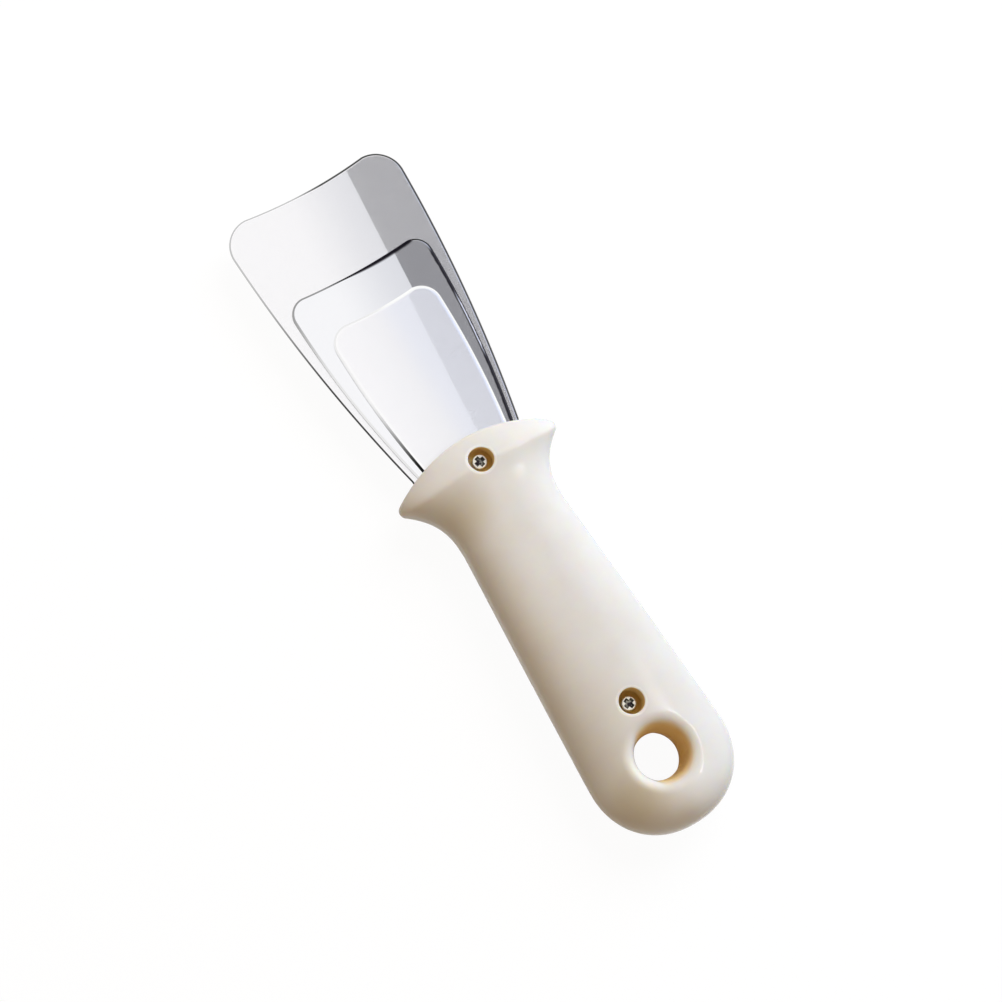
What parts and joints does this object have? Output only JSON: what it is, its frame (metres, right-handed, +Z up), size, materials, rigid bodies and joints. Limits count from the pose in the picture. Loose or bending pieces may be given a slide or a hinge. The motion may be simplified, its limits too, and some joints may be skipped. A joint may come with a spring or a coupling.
{
  "type": "freezer ice scraper",
  "caption": "Freezer ice scraper with stacked, graded steel blades clamped in a two-piece moulded handle with a flared guard and a hang hole.",
  "frame": {"origin": "centre of the bounding box's bottom face: the middle of the tool's length and width, on the flat back that it lies on", "axes": "+Y along the tool, from the rounded butt to the blade tips; +Z up, out of the side with the screw heads; +X to the right of a person who looks down on that side with the blades pointing away"},
  "size_m": [0.0612, 0.23, 0.0235],
  "materials": {
    "ivory_plastic": "satin-gloss ivory moulded plastic",
    "polished_steel": "mirror-polished stainless steel sheet",
    "nickel_plate": "bright nickel-plated steel screw"
  },
  "bodies": {
    "root": {"handle_front_shell": "ivory_plastic", "handle_rear_shell": "ivory_plastic", "large_blade": "polished_steel", "medium_blade": "polished_steel", "small_blade": "polished_steel", "blade_screw": "nickel_plate", "butt_screw": "nickel_plate"}
  },
  "joints": []
}
